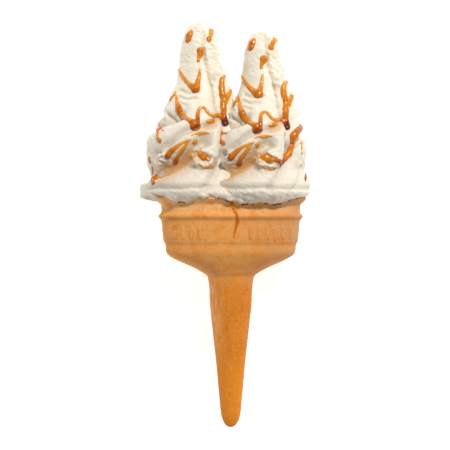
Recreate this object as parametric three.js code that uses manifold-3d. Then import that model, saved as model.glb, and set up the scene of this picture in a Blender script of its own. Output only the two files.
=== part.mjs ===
// A twin-head moulded wafer cone that carries two soft-serve swirls under butterscotch sauce.
// It lies on its back. Millimetres: +Y runs from the tip of the stem to the peaks, +X to the
// right, +Z up, and the origin is on the ground under the middle of the whole.
import * as THREE from 'three';
import { LoftGeometry } from 'three/addons/geometries/LoftGeometry.js';
import { mergeVertices } from 'three/addons/utils/BufferGeometryUtils.js';
import Module from 'manifold-3d';

const wasm = await Module();
wasm.setup();

// Driving dimensions.
const CONE_LENGTH = 140.8; // rim to the tip of the stem
const SWIRL_HEIGHT = 105.6; // rim to the taller peak
const RIM_Y = (CONE_LENGTH - SWIRL_HEIGHT) / 2; // the rim plane, with the whole centred on Y = 0
const CONE_AXIS = { x: 3, z: 29 };
const GAP = 0.3; // between two pieces that touch
const CLEARANCE = 0.48; // between the two swirls, whose facets are coarser
const SAME_POINT = 1e-3; // corners closer than this are one
const WAFER_SEGMENTS = 34; // sides of each section of the wafer
const SWIRL_SEGMENTS = 40; // sides of each section of a swirl
const SWIRL_ROWS = 32; // sections of a swirl, skirt to peak
const ROW_SLANT = 4; // the sections of a swirl climb to the right with its ridges
const SAUCE_SIDES = 4; // sides of a thread of sauce
const SEAM_X = -1; // where the two fillings meet inside the cup
const BEYOND = 300; // a distance that reaches past every side of the part

// The wafer's outer sections: [distance below the rim, half width, half depth].
const WAFER_OUTSIDE = [
  [0, 44.8, 26.3],
  [0.5, 45.7, 27.2],
  [1.7, 46, 27.5],
  [3.4, 44.6, 26.1],
  [5.4, 42.6, 24.3], // neck under the rolled rim
  [10, 42.3, 24],
  [11.2, 43.6, 25.2],
  [12.3, 44, 25.6], // bead
  [13.4, 43.4, 25],
  [15, 42.2, 23.9],
  [27.6, 40.8, 22.9], // foot of the panel
  [29.4, 39.8, 22.2], // lower band, one step in
  [33.4, 39.4, 21.9],
  [35.6, 38.2, 21.2],
  [37.6, 35.4, 20.1],
  [40.2, 30, 18.6],
  [43, 23.6, 16.6],
  [46, 18, 14.8],
  [49.5, 14, 13], // top of the stem
  [68.3, 12.5, 11.7],
  [101.3, 8.9, 8.6],
  [130.5, 6.2, 6],
  [134.5, 5.5, 5.3],
  [137.6, 4.3, 4.2],
  [139.8, 2.8, 2.7],
  [CONE_LENGTH, 0.9, 0.9],
];
// The hollow of the cup, in the same terms.
const WAFER_INSIDE = [
  [-4, 43.2, 24.7],
  [2, 43, 24.5],
  [5.5, 39.9, 21.6],
  [28, 38.2, 20.4],
  [33, 36.6, 19.2],
  [36.5, 32, 17.2],
  [39.5, 25, 14],
];
const WALL_ROWS = 6; // the outer rows that the skirts of the swirls can reach
const CUP_SQUARENESS = 2.6; // exponent of the cup's oval; 2 is an ellipse
const STEM_SQUARENESS = 2.15;
const FUNNEL_TOP = 34; // the cup starts to narrow to the stem
const STEM_TOP = 49.5;

// Raised bars on the front panel, in two groups: [x of the first, x of the last, how many].
const BARS = {
  length: 8.2,
  radius: 1,
  proud: 0.45,
  sunk: 0.5,
  sides: 6,
  middle: 22.4,
  groups: [[-31, -15.5, 4], [15, 39, 6]],
};

// The bed under the swirls: rows as above, and where its edge hangs lower: [x, reach, depth].
const BED = {
  rows: [[1.6, 36, 24], [1.2, 39.2, 28.4], [0.2, 41, 30], [-1.4, 41.5, 30.5], [-4, 39, 29], [-7, 33, 25]],
  shift: 2.5,
  dips: [[-27, 9, 2.4], [13, 16, 3.2], [-6, 6, -1.4]],
  hangs: [-3, 1.5], // the rows between which the hang grows to the whole of it
};

// A swirl's profile: [height above the rim, radius, how far its middle leans to the right].
const PROFILE = [
  [-6.2, 12, 0],
  [-5.2, 20, 0],
  [-3.6, 26, 0],
  [-1.2, 30, 0],
  [1.8, 32.4, 0],
  [7, 33.3, 0],
  [12, 32, 0],
  [17, 29.8, 0],
  [24, 29.8, 0.2],
  [34, 29.6, 0.3],
  [41, 27.4, 1.6],
  [48, 23.8, 2.8],
  [56, 20.9, 3.4],
  [64, 18.2, 4.6],
  [70, 15.8, 4.6],
  [78, 13.6, 3.6],
  [86, 12, 2.9],
  [94, 10.9, 2.9],
  [100, 9.3, 3.3],
  [103.2, 8, 3.8],
  [104.9, 6.8, 4],
  [105.6, 4.4, 3.6],
];
// How the sections are spread over the height, closest where the coils are: [share of them, height].
const ROW_SPREAD = [[0, -6.2], [0.08, -3.4], [0.74, 55], [0.94, 101.5], [1, 105.6]];
const DEPTH_RATIO = 0.94; // depth against width in the upper half
const RATIO_FROM = [40, 60]; // heights between which that ratio sets in
const SLANT_IN = [0, 12]; // heights between which the slant of the sections sets in
const SLANT_OUT = [50, 85]; // and goes again

// Ridges of a swirl. The crest runs through [turn in degrees, height]: turn 0 faces up, 90 right.
// Above the crest the surface drops inwards within the lip, and comes out again over the reach.
const RIDGES = [
  {
    crest: [[-190, 2], [-95, 7.2], [-51, 8.6], [-29, 11.5], [-11, 17], [1, 22.4], [8, 26]],
    drop: 7,
    lip: 3.8,
    reach: 12,
  },
  {
    crest: [[24, 12], [32, 18.4], [40, 24.3], [53, 28.7], [75, 34], [130, 42], [200, 50]],
    drop: 4,
    lip: 4,
    reach: 9,
  },
  {
    crest: [[-64, 17], [-36, 24], [-18, 32.6], [8, 36.6], [25, 39], [42, 43]],
    drop: 3.4,
    lip: 4,
    reach: 6,
  },
  {
    crest: [[80, 14], [150, 22], [210, 29], [270, 35.4], [314, 40.7], [346, 44.5]],
    drop: 4.6,
    lip: 4.6,
    reach: 9,
  },
  { crest: [[130, 33], [200, 40], [270, 45.8], [296, 47]], drop: 3.6, lip: 4, reach: 6 },
  { crest: [[-250, 8], [-190, 14], [-120, 21], [-80, 24]], drop: 2.6, lip: 4.4, reach: 8 },
  { crest: [[-180, 2.6], [-90, 2.4], [0, 2.8], [90, 2.4], [179, 2.6]], drop: 1.2, lip: 1.4, reach: 4 },
];
const RIDGE_FADE = 16; // degrees over which a ridge starts and ends
const WHOLE_TURN = 350; // a crest that spans more than this runs all the way round
const RELIEF_RADII = [2, 7]; // radii between which ridges and marks set in
const LEAST_RADIUS = 0.6;

// Local lumps (height > 0) and hollows (height < 0) along [turn, height] paths.
const MARKS = [
  { path: [[2, 20], [12, 25.5], [22, 21.5]], width: 4.2, height: 5 }, // torn nub
  { path: [[-44, 20.5], [-38, 25]], width: 3.4, height: 3.4 }, // torn lumps
  { path: [[13, 4], [27, 15], [42, 24]], width: 3.4, height: -2.4 }, // flutes of the lowest coil
  { path: [[42, 5], [52, 11], [66, 18]], width: 2.6, height: -1.8 },
  { path: [[40, 27], [40, 35], [43, 46]], width: 4.2, height: -4.5 }, // end of the middle coil
  { path: [[15, 105], [15, 84], [19, 74], [26, 64], [31, 56]], width: 2.2, height: -3.2 }, // lobes part
  { path: [[34, 50], [34, 60], [30, 68]], width: 5, height: -3.8 }, // hollow under them
  { path: [[-46, 61], [-10, 60]], width: 2.4, height: -1.2 }, // fold under the left lobe
  { path: [[-60, 49.5], [-45, 46], [-36, 42.7]], width: 2.2, height: -2 },
  { path: [[-104, -1.2], [-84, -1.2]], width: 3.2, height: 2.2 }, // the skirt's blunt left corner
  { path: [[190, 60], [205, 98]], width: 3, height: -2.4 },
];
// The right lobe of the peak ends lower than the left one: how much, and the reach across and the
// heights over which it does.
const PEAK_STEP = { fall: 2.6, across: [4, 7], heights: [98, 104] };

// The skirt of the lowest coil: how far its edge lifts at each side, where it can lift once more
// in front, the heights over which it does, and its waves: [how many, start, size].
const SKIRT = {
  left: 1,
  right: 2.4,
  corner: { turn: -48, reach: 14 },
  heights: [2, -4],
  waves: [[7, 1, 0.4], [12, 0, 0.3]],
};

// Where each swirl stands, its scale, how much deeper its back is than its front, and how far its
// skirt lifts off the corner of the rim.
const SWIRLS = {
  soft_serve_left: { x: -19, z: 27, scale: 1, back: 1, cornerLift: 4.2 },
  soft_serve_right: { x: 19.3, z: 33.2, scale: 0.95, back: 1.2, cornerLift: 0 },
};

// Threads and drops of sauce on a swirl: [across from the middle, height, half width].
const SAUCE = [
  [[-3.4, 95.4, 2], [-3.5, 97.6, 2.8], [-1.9, 101, 0.9]],
  [[10.6, 101, 1.6], [9.8, 97.6, 1.3], [8.8, 95.2, 1.7]],
  [[4, 88.5, 2.2], [3, 85.4, 1.4], [2.3, 82.9, 1.1]],
  [[-10.4, 78, 1.4], [-6.7, 72, 1.5], [-3, 68.2, 1.8], [0.9, 66, 2.8], [2.6, 72, 1.4], [3.1, 78.1, 0.7]],
  [[-11.5, 62.4, 1.2], [-9.8, 53.6, 2.1], [-7.2, 49, 1.6], [-3.3, 46.3, 1.6], [0.2, 43, 3.8]],
  [[1.6, 46, 1.8], [2.2, 52, 1.3], [4.8, 54.3, 1.3], [8, 51.2, 1.3], [11.5, 49.3, 1.6], [18, 46, 2]],
  [[-3, 34, 1], [-7.4, 32.4, 1.1], [-11.1, 29.4, 1.5], [-16, 24, 2]],
  [[-4.6, 32.8, 1], [-8.6, 27.3, 1.4], [-12, 21, 1.8]],
  [[-25.9, 16, 1.1], [-24.6, 11, 1.9]],
  [[3.2, 25, 2.2], [7.6, 22.6, 2.6], [11.4, 21, 1.6]],
  [[18.6, 73.4, 1.6], [16.8, 69, 1.8], [17.9, 60.6, 2.2], [17.6, 50, 2], [18.4, 44.6, 2.6]],
  [[21.9, 64.4, 1.6], [18.3, 57, 1.6]],
];
// The right swirl carries one more run, down its right shoulder to the torn nub.
const SHOULDER_RUN = [
  [27, 43.3, 2.6],
  [23.6, 39, 2.3],
  [21.4, 32.5, 2.3],
  [17.6, 26, 2.2],
  [14.4, 20.6, 2.6],
  [9, 23, 1.6],
];
const FRONT_TURNS = 100; // the front of a swirl lies between these turns, left and right
const HALVINGS = 24; // steps in the search for a turn
const SAUCE_STEPS = 2; // sections between two of its points
const SAUCE_END = 0.45; // the share of its width left at both ends
const SAUCE_PROUD = 0.7; // height against half width

const WAFER = new THREE.MeshStandardMaterial({ color: 0xd5984f, roughness: 0.85, metalness: 0 });
const ICE_CREAM = new THREE.MeshStandardMaterial({ color: 0xebe0c8, roughness: 0.55, metalness: 0 });

// A smooth curve through a table of rows, read at one value of their first column.
function tableAt(table, at, column) {
  const last = table.length - 1;
  let i = 0;
  while (i < last - 1 && at > table[i + 1][0]) i += 1;
  const slope = (a, b) => (table[b][column] - table[a][column]) / (table[b][0] - table[a][0]);
  const span = table[i + 1][0] - table[i][0];
  const s = THREE.MathUtils.clamp((at - table[i][0]) / span, 0, 1);
  const start = slope(Math.max(i - 1, 0), i + 1) * span;
  const end = slope(i, Math.min(i + 2, last)) * span;
  const rise = table[i + 1][column] - table[i][column];
  const square = 3 * rise - 2 * start - end;
  const cube = start + end - 2 * rise;
  return table[i][column] + s * start + s ** 2 * square + s ** 3 * cube;
}

const rampUp = (value, from, to) => THREE.MathUtils.smoothstep(value, from, to);

// One ring of a section in the XZ plane: an oval whose exponent sets how square it is.
function ovalRing(y, halfWidth, halfDepth, squareness) {
  return Array.from({ length: WAFER_SEGMENTS }, (_, i) => {
    const turn = (i / WAFER_SEGMENTS) * 2 * Math.PI;
    const power = (value) => Math.sign(value) * Math.abs(value) ** (2 / squareness);
    return new THREE.Vector3(
      CONE_AXIS.x + halfWidth * power(Math.sin(turn)),
      y,
      CONE_AXIS.z + halfDepth * power(Math.cos(turn)),
    );
  });
}

// A closed solid lofted through the rows of a wafer table, grown outwards by a margin.
function waferLoft(rows, margin = 0) {
  const rings = rows.map(([drop, halfWidth, halfDepth]) => {
    const share = rampUp(drop, FUNNEL_TOP, STEM_TOP);
    const squareness = THREE.MathUtils.lerp(CUP_SQUARENESS, STEM_SQUARENESS, share);
    return ovalRing(RIM_Y - drop, halfWidth + margin, halfDepth + margin, squareness);
  });
  return solidThrough(rings);
}

// The bed of ice cream that both swirls stand on. It hangs over the rim, lowest at two places.
function creamBed() {
  const rings = BED.rows.map(([drop, halfWidth, halfDepth]) => {
    const ring = ovalRing(RIM_Y - drop, halfWidth, halfDepth, CUP_SQUARENESS);
    const hang = rampUp(drop, ...BED.hangs);
    for (const point of ring) {
      point.x += BED.shift;
      for (const [x, reach, depth] of BED.dips) {
        point.y -= hang * depth * Math.exp(-(((point.x - x) / reach) ** 2));
      }
    }
    return ring;
  });
  return solidThrough(rings);
}

// The middle of a ring of points.
function middleOf(ring) {
  const sum = new THREE.Vector3();
  for (const point of ring) sum.add(point);
  return sum.divideScalar(ring.length);
}

// A closed solid through a list of rings, whichever way round they were listed. It is lofted
// mirrored and then turned back, so that the diagonals of its facets climb as the ridges do.
function solidThrough(rings) {
  const mirror = (point) => new THREE.Vector3(-point.x, point.y, point.z);
  const mirrored = rings.map((ring) => ring.map(mirror));
  const [first, second] = mirrored;
  const middle = middleOf(first);
  const normal = new THREE.Vector3();
  first.forEach((point, i) => {
    const spoke = point.clone().sub(middle);
    normal.add(spoke.cross(first[(i + 1) % first.length].clone().sub(middle)));
  });
  const ahead = middleOf(second).sub(middle).dot(normal) > 0;
  const ordered = ahead ? mirrored : mirrored.map((ring) => [...ring].reverse());
  const loft = new LoftGeometry(ordered, { capStart: true, capEnd: true });
  return solidOf(loft.scale(-1, 1, 1), true);
}

// A manifold-3d solid from a closed three.js geometry, whose faces may be inside out.
function solidOf(geometry, insideOut = false) {
  const bare = new THREE.BufferGeometry();
  bare.setAttribute('position', geometry.getAttribute('position'));
  bare.setIndex(geometry.index);
  const merged = mergeVertices(bare, SAME_POINT);
  const corners = merged.index.array;
  const kept = [];
  for (let i = 0; i < corners.length; i += 3) {
    const [a, b, c] = corners.subarray(i, i + 3);
    if (a !== b && b !== c && c !== a) kept.push(a, ...(insideOut ? [c, b] : [b, c]));
  }
  return new wasm.Manifold(
    new wasm.Mesh({
      numProp: 3,
      vertProperties: new Float32Array(merged.getAttribute('position').array),
      triVerts: new Uint32Array(kept),
    }),
  );
}

// The largest body of a solid: a cut between two swirls can leave loose crumbs.
const largestBody = (solid) => solid.decompose().reduce((a, b) => (a.volume() > b.volume() ? a : b));

// A box between two corners, as a solid.
function boxBetween(low, high) {
  const box = new THREE.Box3(new THREE.Vector3(...low), new THREE.Vector3(...high));
  const size = box.getSize(new THREE.Vector3());
  const middle = box.getCenter(new THREE.Vector3());
  return solidOf(new THREE.BoxGeometry(size.x, size.y, size.z).translate(middle.x, middle.y, middle.z));
}

// How far a ridge presses the surface inwards at one turn and height.
function ridgeDrop(ridge, turn, height) {
  const first = ridge.crest[0][0];
  const last = ridge.crest[ridge.crest.length - 1][0];
  let total = 0;
  for (const around of [turn - 360, turn, turn + 360]) {
    if (around < first || around > last) continue;
    const starting = rampUp(around, first, first + RIDGE_FADE);
    const ending = 1 - rampUp(around, last - RIDGE_FADE, last);
    const fade = last - first > WHOLE_TURN ? 1 : starting * ending;
    const above = height - tableAt(ridge.crest, around, 1);
    const shape = rampUp(above, 0, ridge.lip) * (1 - rampUp(above, ridge.lip, ridge.lip + ridge.reach));
    total += ridge.drop * fade * shape;
  }
  return total;
}

// The height that a mark adds at one turn and height, from its distance along the surface.
function markHeight(mark, turn, height, radius) {
  let nearest = Infinity;
  const perDegree = (radius * Math.PI) / 180;
  for (let i = 0; i + 1 < mark.path.length; i += 1) {
    const [turnA, a] = mark.path[i];
    const [turnB, b] = mark.path[i + 1];
    let offset = turn - turnA;
    offset -= 360 * Math.round(offset / 360);
    const along = new THREE.Vector2((turnB - turnA) * perDegree, b - a);
    const to = new THREE.Vector2(offset * perDegree, height - a);
    const s = THREE.MathUtils.clamp(to.dot(along) / along.lengthSq(), 0, 1);
    nearest = Math.min(nearest, to.distanceTo(along.multiplyScalar(s)));
  }
  return mark.height * Math.exp(-((nearest / mark.width) ** 2));
}

// The radius of the surface at one turn (degrees) and height, before the swirl's scale.
function surfaceRadius(turn, height) {
  const plain = tableAt(PROFILE, height, 1);
  const fade = rampUp(plain, ...RELIEF_RADII);
  let radius = plain;
  for (const ridge of RIDGES) radius -= fade * ridgeDrop(ridge, turn, height);
  for (const mark of MARKS) radius += fade * markHeight(mark, turn, height, plain);
  return Math.max(radius, LEAST_RADIUS);
}

// A point on the surface of a swirl, pushed outwards by a margin.
function surfacePoint(swirl, turn, height, margin = 0) {
  const radius = (surfaceRadius(turn, height) + margin) * swirl.widen;
  const angle = THREE.MathUtils.degToRad(turn);
  const depthRatio = THREE.MathUtils.lerp(1, DEPTH_RATIO, rampUp(height, ...RATIO_FROM));
  const across = Math.sin(angle) * radius + tableAt(PROFILE, height, 2);
  const depth = Math.cos(angle) * radius * depthRatio * (Math.cos(angle) < 0 ? swirl.back : 1);
  const step = PEAK_STEP.fall * rampUp(across, ...PEAK_STEP.across) * rampUp(height, ...PEAK_STEP.heights);
  const [noLift, wholeLift] = SKIRT.heights;
  const skirt = rampUp(-height, -noLift, -wholeLift) * skirtLift(swirl, turn);
  return new THREE.Vector3(
    swirl.x + across,
    RIM_Y + (height - step + skirt) * swirl.scale,
    swirl.z + depth,
  );
}

// How far the edge of the skirt is lifted at one turn.
function skirtLift(swirl, turn) {
  const angle = THREE.MathUtils.degToRad(turn);
  const { corner } = SKIRT;
  let lift = (Math.sin(angle) < 0 ? SKIRT.left : SKIRT.right) * Math.sin(angle) ** 4;
  lift += swirl.cornerLift * Math.exp(-(((turn - corner.turn) / corner.reach) ** 2));
  for (const [count, start, size] of SKIRT.waves) lift += size * Math.sin(count * angle + start);
  return lift;
}

// The whole round form of a swirl, with both ends closed.
function swirlForm(swirl, margin = 0) {
  const rings = Array.from({ length: SWIRL_ROWS + 1 }, (_, row) => {
    const height = tableAt(ROW_SPREAD, row / SWIRL_ROWS, 1);
    const slant = ROW_SLANT * rampUp(height, ...SLANT_IN) * (1 - rampUp(height, ...SLANT_OUT));
    return Array.from({ length: SWIRL_SEGMENTS }, (_, i) => {
      const turn = (i * 360) / SWIRL_SEGMENTS - 180;
      return surfacePoint(swirl, turn, height + slant * Math.sin(THREE.MathUtils.degToRad(turn)), margin);
    });
  });
  return solidThrough(rings);
}

// The turn at which the front of a swirl shows a point this far across.
function turnAcross(across, height) {
  let low = -FRONT_TURNS;
  let high = FRONT_TURNS;
  const lean = tableAt(PROFILE, height, 2);
  for (let i = 0; i < HALVINGS; i += 1) {
    const turn = (low + high) / 2;
    const shown = Math.sin(THREE.MathUtils.degToRad(turn)) * surfaceRadius(turn, height) + lean;
    if (shown < across) low = turn;
    else high = turn;
  }
  return (low + high) / 2;
}

// One thread of sauce, lofted along the surface with a half width that changes on the way.
function sauceThread(swirl, path) {
  const corners = path.map(([across, height]) => surfacePoint(swirl, turnAcross(across, height), height));
  const curve = new THREE.CatmullRomCurve3(corners, false, 'centripetal');
  const steps = (path.length - 1) * SAUCE_STEPS;
  const middle = new THREE.Vector3(swirl.x, RIM_Y, swirl.z);
  const rings = Array.from({ length: steps + 1 }, (_, i) => {
    const at = i / SAUCE_STEPS;
    const part = Math.min(Math.floor(at), path.length - 2);
    const halfWidth = THREE.MathUtils.lerp(path[part][2], path[part + 1][2], at - part);
    const reach = halfWidth * (i === 0 || i === steps ? SAUCE_END : 1);
    const centre = curve.getPoint(i / steps);
    const along = curve.getTangent(i / steps);
    const out = new THREE.Vector3(centre.x - middle.x, 0, centre.z - middle.z).normalize();
    const side = new THREE.Vector3().crossVectors(along, out).normalize();
    const up = new THREE.Vector3().crossVectors(side, along).normalize();
    return Array.from({ length: SAUCE_SIDES }, (_, k) => {
      const angle = (k / SAUCE_SIDES) * 2 * Math.PI;
      return centre
        .clone()
        .addScaledVector(side, Math.cos(angle) * reach)
        .addScaledVector(up, Math.sin(angle) * reach * SAUCE_PROUD);
    });
  });
  return solidThrough(rings);
}

// The raised bars on the panel, each a flattened capsule that is set into the wall and faces as
// the wall does there.
function panelBars() {
  const bars = [];
  const halfWidth = tableAt(WAFER_OUTSIDE, BARS.middle, 1);
  const halfDepth = tableAt(WAFER_OUTSIDE, BARS.middle, 2);
  const steepness = (value, half) => Math.abs(value) ** (CUP_SQUARENESS - 1) / half ** CUP_SQUARENESS;
  for (const [from, to, count] of BARS.groups) {
    for (let i = 0; i < count; i += 1) {
      const x = THREE.MathUtils.lerp(from, to, i / (count - 1)) - CONE_AXIS.x;
      const share = Math.abs(x / halfWidth) ** CUP_SQUARENESS;
      const z = halfDepth * (1 - share) ** (1 / CUP_SQUARENESS);
      const facing = Math.atan2(Math.sign(x) * steepness(x, halfWidth), steepness(z, halfDepth));
      const bar = new THREE.CapsuleGeometry(BARS.radius, BARS.length, 1, BARS.sides);
      bar.scale(1, 1, BARS.proud / BARS.radius + BARS.sunk).rotateY(facing);
      bar.translate(CONE_AXIS.x + x, RIM_Y - BARS.middle, CONE_AXIS.z + z - BARS.sunk);
      bars.push(solidOf(bar));
    }
  }
  return bars;
}

// The wafer: cup and stem in one piece, hollow down to the foot of the cup.
function waferCone() {
  let wafer = waferLoft(WAFER_OUTSIDE).subtract(waferLoft(WAFER_INSIDE));
  for (const bar of panelBars()) wafer = wafer.add(bar);
  return wafer;
}

// The wall of the cup with a gap all round it, which the ice cream stays clear of.
function wallClearance() {
  const upperRows = WAFER_OUTSIDE.slice(0, WALL_ROWS).map(([drop, ...half]) => [drop - GAP, ...half]);
  const outside = waferLoft(upperRows, GAP);
  return outside.subtract(waferLoft(WAFER_INSIDE, -GAP));
}

// The share of the bed and of the cup's filling on one side of the seam.
function cupFilling(lowX, highX) {
  const side = boxBetween([lowX, -BEYOND, -BEYOND], [highX, BEYOND, BEYOND]);
  const inside = waferLoft(WAFER_INSIDE, -GAP);
  return inside.add(creamBed()).intersect(side);
}

// Both ice creams. The left one stays clear of the right one, and both of the wafer.
function iceCreams() {
  const swirls = Object.fromEntries(
    Object.entries(SWIRLS).map(([name, swirl]) => [name, { ...swirl, widen: 0.5 + 0.5 * swirl.scale }]),
  );
  const { soft_serve_left: left, soft_serve_right: right } = swirls;
  const wall = wallClearance();
  const ground = boxBetween([-BEYOND, -BEYOND, -BEYOND], [BEYOND, BEYOND, 0]);
  const trim = (solid) => largestBody(solid.subtract(wall).subtract(ground));
  const join = (first, rest) => rest.reduce((solid, next) => solid.add(next), first);
  const leftSauce = SAUCE.map((path) => sauceThread(left, path));
  const rightSauce = [...SAUCE, SHOULDER_RUN].map((path) => sauceThread(right, path));
  const leftForm = join(swirlForm(left), [cupFilling(-BEYOND, SEAM_X - GAP), ...leftSauce]);
  const rightForm = join(swirlForm(right), [cupFilling(SEAM_X, BEYOND), ...rightSauce]);
  const rightClearance = join(swirlForm(right, CLEARANCE), [cupFilling(SEAM_X - GAP, BEYOND), ...rightSauce]);
  return {
    soft_serve_left: trim(leftForm.subtract(rightClearance)),
    soft_serve_right: trim(rightForm),
  };
}

// A named three.js mesh from a solid.
function meshOf(name, solid, material) {
  const { numProp, vertProperties, triVerts } = solid.getMesh();
  const positions = new Float32Array((vertProperties.length / numProp) * 3);
  for (let i = 0; i * 3 < positions.length; i += 1) {
    positions.set(vertProperties.subarray(i * numProp, i * numProp + 3), i * 3);
  }
  const geometry = new THREE.BufferGeometry();
  geometry.setAttribute('position', new THREE.BufferAttribute(positions, 3));
  geometry.setIndex(new THREE.BufferAttribute(triVerts, 1));
  geometry.computeVertexNormals();
  const mesh = new THREE.Mesh(geometry, material);
  mesh.name = name;
  return mesh;
}

const group = new THREE.Group();
group.add(meshOf('wafer_cone', waferCone(), WAFER));
for (const [name, solid] of Object.entries(iceCreams())) group.add(meshOf(name, solid, ICE_CREAM));

export default group;
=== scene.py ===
"""A twin-head moulded wafer cone with two soft-serve swirls under butterscotch sauce, lying on its back."""

import math

import bpy
import numpy as np
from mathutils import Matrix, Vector, noise
from mathutils.bvhtree import BVHTree
from mathutils.kdtree import KDTree


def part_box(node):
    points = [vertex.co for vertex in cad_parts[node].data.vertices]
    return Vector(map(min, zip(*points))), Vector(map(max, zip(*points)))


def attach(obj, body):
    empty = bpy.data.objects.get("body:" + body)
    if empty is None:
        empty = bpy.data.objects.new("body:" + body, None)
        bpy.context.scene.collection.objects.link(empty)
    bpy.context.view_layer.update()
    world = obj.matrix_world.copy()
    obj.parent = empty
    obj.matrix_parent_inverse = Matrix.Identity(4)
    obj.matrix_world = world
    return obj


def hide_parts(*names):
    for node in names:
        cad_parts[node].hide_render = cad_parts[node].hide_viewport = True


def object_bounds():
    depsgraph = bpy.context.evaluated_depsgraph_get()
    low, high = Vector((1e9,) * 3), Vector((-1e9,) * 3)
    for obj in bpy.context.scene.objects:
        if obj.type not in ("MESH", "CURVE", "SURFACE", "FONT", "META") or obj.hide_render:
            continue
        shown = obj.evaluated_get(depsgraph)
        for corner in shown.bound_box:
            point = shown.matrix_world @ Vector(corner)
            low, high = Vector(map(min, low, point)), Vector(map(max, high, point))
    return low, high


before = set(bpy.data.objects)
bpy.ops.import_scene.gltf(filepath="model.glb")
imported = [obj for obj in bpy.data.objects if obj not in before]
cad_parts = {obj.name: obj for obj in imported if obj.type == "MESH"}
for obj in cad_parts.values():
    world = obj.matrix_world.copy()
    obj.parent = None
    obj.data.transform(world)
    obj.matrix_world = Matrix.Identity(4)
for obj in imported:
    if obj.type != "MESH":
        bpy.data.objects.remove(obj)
CAD_BOX = [list(corner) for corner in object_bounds()]

MM = 0.001  # sizes below are millimetres, and meshes are made in metres
OVAL_STEPS = 20001  # steps in which the way round an oval is measured

# ---------------- the cone, as the CAD has it

WAFER_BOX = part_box("wafer_cone")
RIM_Y = WAFER_BOX[1][1] / MM  # the rim plane
CONE_LENGTH = RIM_Y - WAFER_BOX[0][1] / MM
CONE_X = (WAFER_BOX[0][0] + WAFER_BOX[1][0]) / 2 / MM
CONE_Z = (WAFER_BOX[0][2] + WAFER_BOX[1][2]) / 2 / MM
PANEL_OVAL = (41.6, 23.5)  # half width and half depth at the middle of the panel

# The wafer's sections: distance below the rim, half width, half depth.
WAFER_OUTSIDE = [
    (0, 44.8, 26.3), (0.5, 45.7, 27.2), (1.7, 46, 27.5), (3.4, 44.6, 26.1),
    (5.4, 42.6, 24.3), (10, 42.3, 24), (11.2, 43.6, 25.2), (12.3, 44, 25.6),
    (13.4, 43.4, 25), (15, 42.2, 23.9), (21, *PANEL_OVAL), (27.6, 40.8, 22.9),
    (29.4, 39.8, 22.2), (33.4, 39.4, 21.9), (35.6, 38.2, 21.2), (37.6, 35.4, 20.1),
    (40.2, 30, 18.6), (43, 23.6, 16.6), (46, 18, 14.8), (49.5, 14, 13),
    (68.3, 12.5, 11.7), (101.3, 8.9, 8.6), (130.5, 6.2, 6), (134.5, 5.5, 5.3),
    (137.6, 4.3, 4.2), (139.8, 2.6, 2.5), (CONE_LENGTH, 0.4, 0.4),
]
WAFER_INSIDE = [(0.4, 43.4, 24.9), (5.5, 39.9, 21.6), (28.0, 38.2, 20.4), (38.0, 28.0, 15.0)]
OUTSIDE_RINGS, INSIDE_RINGS, WAFER_AROUND = 230, 24, 384
SHORTEST_STEP = 0.4  # two sections count as at least this far apart when the rings are spread

# The exponent of the oval sections, where 2 is a plain oval and more is squarer. Below the foot of
# the cup the one turns into the other.
CUP_SQUARENESS = 2.6
STEM_SQUARENESS = 2.15
CUP_FOOT, STEM_TOP = 34.0, 49.5

# The wafer's grain and its broader waves, each with height, wavelength and seed.
WAFER_RELIEF = ((0.05, 1.6, 0.0), (0.09, 6.0, 7.0))

# Raised bars on the panel: their length and radius, how far they stand out, how far below the rim
# their middles lie, the share of their radius that is flat, and the width of the line of colour
# round each. The groups give x of the first and the last bar, and how many.
BAR_LENGTH, BAR_RADIUS, BAR_PROUD, BAR_MIDDLE = 8.2, 1.1, 0.5, 22.4
BAR_FLAT, BAR_EDGE = 0.35, 0.45
BAR_GROUPS = [(-31.0, -15.5, 4), (15.0, 39.0, 6)]

# Where the wafer's colours pass into each other: distances below the rim for the rim's painted light,
# which makes it paler against the ice cream's shadow, y for the stem and for its lower part, and x for the
# right side's painted shade, which makes it greyer.
RIM_SHADE_FROM, RIM_SHADE_TO = 13.0, 4.0
STEM_COLOUR_Y, LOW_STEM_Y = (-42.0, -24.0), (-100.0, -50.0)
SHADED_SIDE_X = (28.0, 46.0)

# Toasted spots on the wafer: x, y, reach, how strong. The core is the share of the reach
# that has the full strength.
TOAST_CORE = 0.25
TOAST_SPOTS = [
    (-30.5, -1.5, 2.6, 0.5), (-30, -7.5, 2.2, 0.45), (-13, 5.4, 2.4, 0.5),
    (-12.1, -9, 1, 0.9), (25.2, -8.7, 0.9, 0.8), (28.9, -9.2, 1, 0.8),
    (26.5, -0.8, 1.4, 0.5), (-17, 5, 1.8, 0.4),
]

# ---------------- the swirls

# Height above the rim, radius, lean of the middle to the right.
PROFILE = [
    (-6.2, 12, 0), (-5.2, 20, 0), (-3.6, 26, 0), (-1.2, 30, 0),
    (1.8, 32.4, 0), (7, 33.3, 0), (12, 32, 0), (17, 29.8, 0),
    (24, 29.8, 0.2), (34, 29.6, 0.3), (41, 27.4, 1.6), (48, 23.8, 2.8),
    (56, 20.9, 3.4), (64, 18.2, 4.6), (70, 15.8, 4.6), (78, 13.6, 3.6),
    (86, 12, 2.9), (94, 10.9, 2.9), (100, 9.3, 3.3), (103.2, 8, 3.8),
    (104.9, 6.8, 4), (105.6, 4.4, 3.6),
]
TIP_RADII = (2, 7)  # ridges and marks fade out as the radius shrinks from the second to the first
LEAST_RADIUS = 0.6
DEPTH_RATIO = 0.94  # how deep a swirl is for its width, above the heights where this sets in
DEPTH_HEIGHTS = (40, 60)
PEAK_STEP = 2.6  # the right part of each peak ends this much lower
PEAK_STEP_ACROSS, PEAK_STEP_HEIGHTS = (4, 7), (98, 104)

# The crest of the coil that the combed patch lies under, through (turn in degrees, height). Turn 0
# faces up, and 90 faces right.
SHOULDER_CREST = ((24, 12), (32, 18.4), (40, 24.3), (53, 28.7), (75, 34), (130, 42), (200, 50))
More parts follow.
